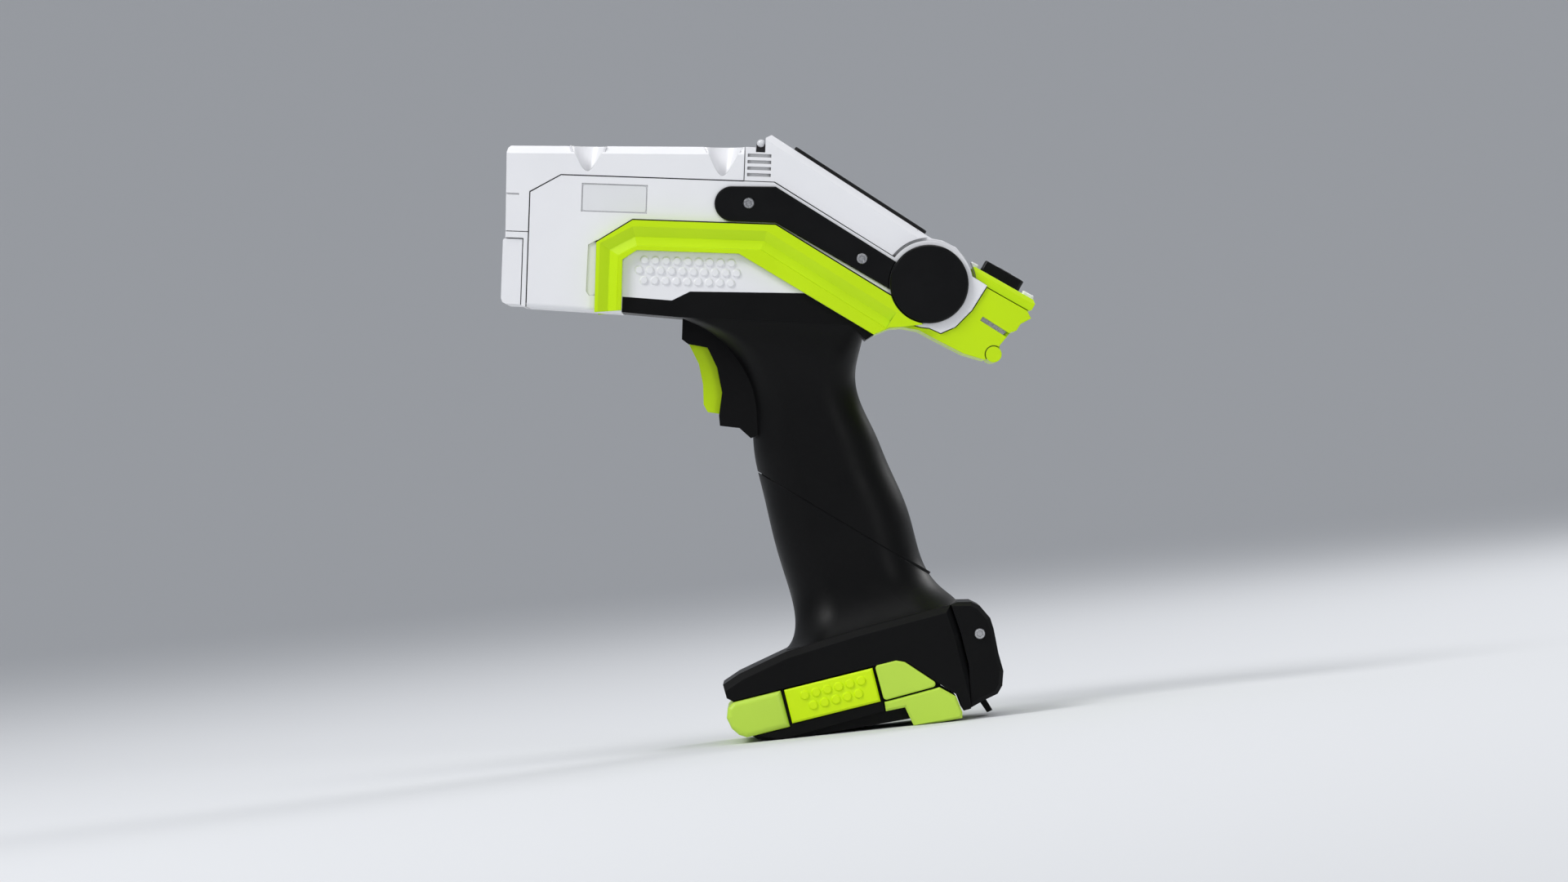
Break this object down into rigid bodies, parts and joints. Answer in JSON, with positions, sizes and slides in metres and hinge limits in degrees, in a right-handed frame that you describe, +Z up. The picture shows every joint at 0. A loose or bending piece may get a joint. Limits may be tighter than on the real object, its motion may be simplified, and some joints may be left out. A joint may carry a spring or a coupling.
{
  "type": "handheld xrf analyzer",
  "caption": "Pistol-grip X-ray fluorescence analyzer with tilting display, keypad, squeeze trigger, slide-out battery and standing base",
  "frame": {"origin": "middle of the footprint on the surface that the analyzer stands on", "axes": "+Z up; the nose points along -X; +Y is the analyzer's right side"},
  "size_m": [0.2061, 0.0684, 0.2396],
  "materials": {
    "white_shell": "satin moulded plastic",
    "lime_shell": "satin overmould",
    "pale_lime": "satin moulded plastic",
    "bright_lime": "satin moulded plastic",
    "black_grip": "fine textured soft-touch plastic",
    "black_gloss": "gloss",
    "black_rubber": "matte",
    "screen_glass": "polished",
    "lens_plastic": "smoked lens",
    "steel": "brushed",
    "aluminium": "cast",
    "brass": "plated",
    "circuit": "solder mask",
    "film": "thin film"
  },
  "bodies": {
    "analyzer": {"camera_module": "black_grip", "case_screws": "steel", "case_seal": "black_rubber", "chassis": "aluminium", "connector_block": "black_grip", "detector": "steel", "dock_contacts": "brass", "filter_motor": "steel", "grip_left": "black_grip", "grip_right": "black_grip", "hinge_axle": "steel", "hinge_bushes": "brass", "hv_supply": "black_grip", "keypad_bezel": "lime_shell", "keypad_board": "circuit", "lanyard_bars": "steel", "lanyard_loop": "black_grip", "left_bumper": "lime_shell", "left_hinge_cap": "black_gloss", "left_housing": "white_shell", "left_trim": "black_gloss", "lower_grip": "black_grip", "main_board": "circuit", "nose_bracket": "white_shell", "nose_frame": "white_shell", "rear_cap": "black_grip", "rear_pads": "pale_lime", "right_bumper": "lime_shell", "right_hinge_cap": "black_gloss", "right_housing": "white_shell", "right_trim": "black_gloss", "tail_housing": "lime_shell", "top_cover": "white_shell", "trigger_pin": "steel", "trigger_spring": "steel", "trigger_switch": "black_grip", "window_film": "film", "window_ring": "steel", "xray_tube": "steel"},
    "display": {"display_frame": "white_shell", "display_gasket": "black_rubber", "display_glass": "screen_glass", "display_module": "aluminium", "display_back": "black_grip", "light_bar": "lens_plastic"},
    "trigger": {"trigger": "lime_shell"},
    "battery": {"battery_case": "black_grip", "battery_bumper": "pale_lime", "battery_foot": "pale_lime", "battery_cells": "aluminium", "battery_board": "circuit"},
    "left_release_button": {"left_release_button": "bright_lime"},
    "right_release_button": {"right_release_button": "bright_lime"},
    "front_key": {"front_key": "white_shell"},
    "nav_pad": {"nav_pad": "black_gloss"},
    "nav_centre_key": {"nav_centre_key": "black_rubber"},
    "rear_key": {"rear_key": "white_shell"},
    "tail_door": {"tail_door": "lime_shell"},
    "filter_wheel": {"filter_wheel": "aluminium"},
    "proximity_plunger": {"proximity_plunger": "steel"}
  },
  "joints": [
    {"name": "display_tilt", "type": "hinge", "parent": "analyzer", "child": "display", "pos_m": [0.06244, 0, 0.1693], "axis": [0, 1, 0], "range_deg": [0, 50]},
    {"name": "trigger_pull", "type": "hinge", "parent": "analyzer", "child": "trigger", "pos_m": [-0.02525, 0, 0.16042], "axis": [0, -1, 0], "range_deg": [0, 8], "stiffness_Nm_per_rad": 0.5, "springref_deg": -3.44},
    {"name": "battery_slide", "type": "slide", "parent": "analyzer", "child": "battery", "axis": [-0.9903, 0, -0.1392], "range_m": [0, 0.095]},
    {"name": "left_release_press", "type": "slide", "parent": "battery", "child": "left_release_button", "axis": [0, 1, 0], "range_m": [0, 0.0014], "stiffness_N_per_m": 1500, "springref_m": -0.0005},
    {"name": "right_release_press", "type": "slide", "parent": "battery", "child": "right_release_button", "axis": [0, -1, 0], "range_m": [0, 0.0014], "stiffness_N_per_m": 1500, "springref_m": -0.0005},
    {"name": "front_key_press", "type": "slide", "parent": "analyzer", "child": "front_key", "axis": [-0.5807, 0, -0.8141], "range_m": [0, 0.001], "stiffness_N_per_m": 1500, "springref_m": -0.0004},
    {"name": "nav_pad_press", "type": "slide", "parent": "analyzer", "child": "nav_pad", "axis": [-0.5807, 0, -0.8141], "range_m": [0, 0.001], "stiffness_N_per_m": 1500, "springref_m": -0.0004},
    {"name": "nav_centre_key_press", "type": "slide", "parent": "analyzer", "child": "nav_centre_key", "axis": [-0.5807, 0, -0.8141], "range_m": [0, 0.001], "stiffness_N_per_m": 1500, "springref_m": -0.0004},
    {"name": "rear_key_press", "type": "slide", "parent": "analyzer", "child": "rear_key", "axis": [-0.5807, 0, -0.8141], "range_m": [0, 0.001], "stiffness_N_per_m": 1500, "springref_m": -0.0004},
    {"name": "tail_door_swing", "type": "hinge", "parent": "analyzer", "child": "tail_door", "pos_m": [0.08443, 0, 0.13965], "axis": [0, 1, 0], "range_deg": [0, 110]},
    {"name": "filter_wheel_spin", "type": "hinge", "parent": "analyzer", "child": "filter_wheel", "pos_m": [-0.0834, 0.0136, 0.21403], "axis": [0.9903, 0, -0.1392], "continuous": true},
    {"name": "proximity_plunger_press", "type": "slide", "parent": "analyzer", "child": "proximity_plunger", "axis": [0.9903, 0, -0.1392], "range_m": [0, 0.0009], "stiffness_N_per_m": 500, "springref_m": -0.0005}
  ]
}
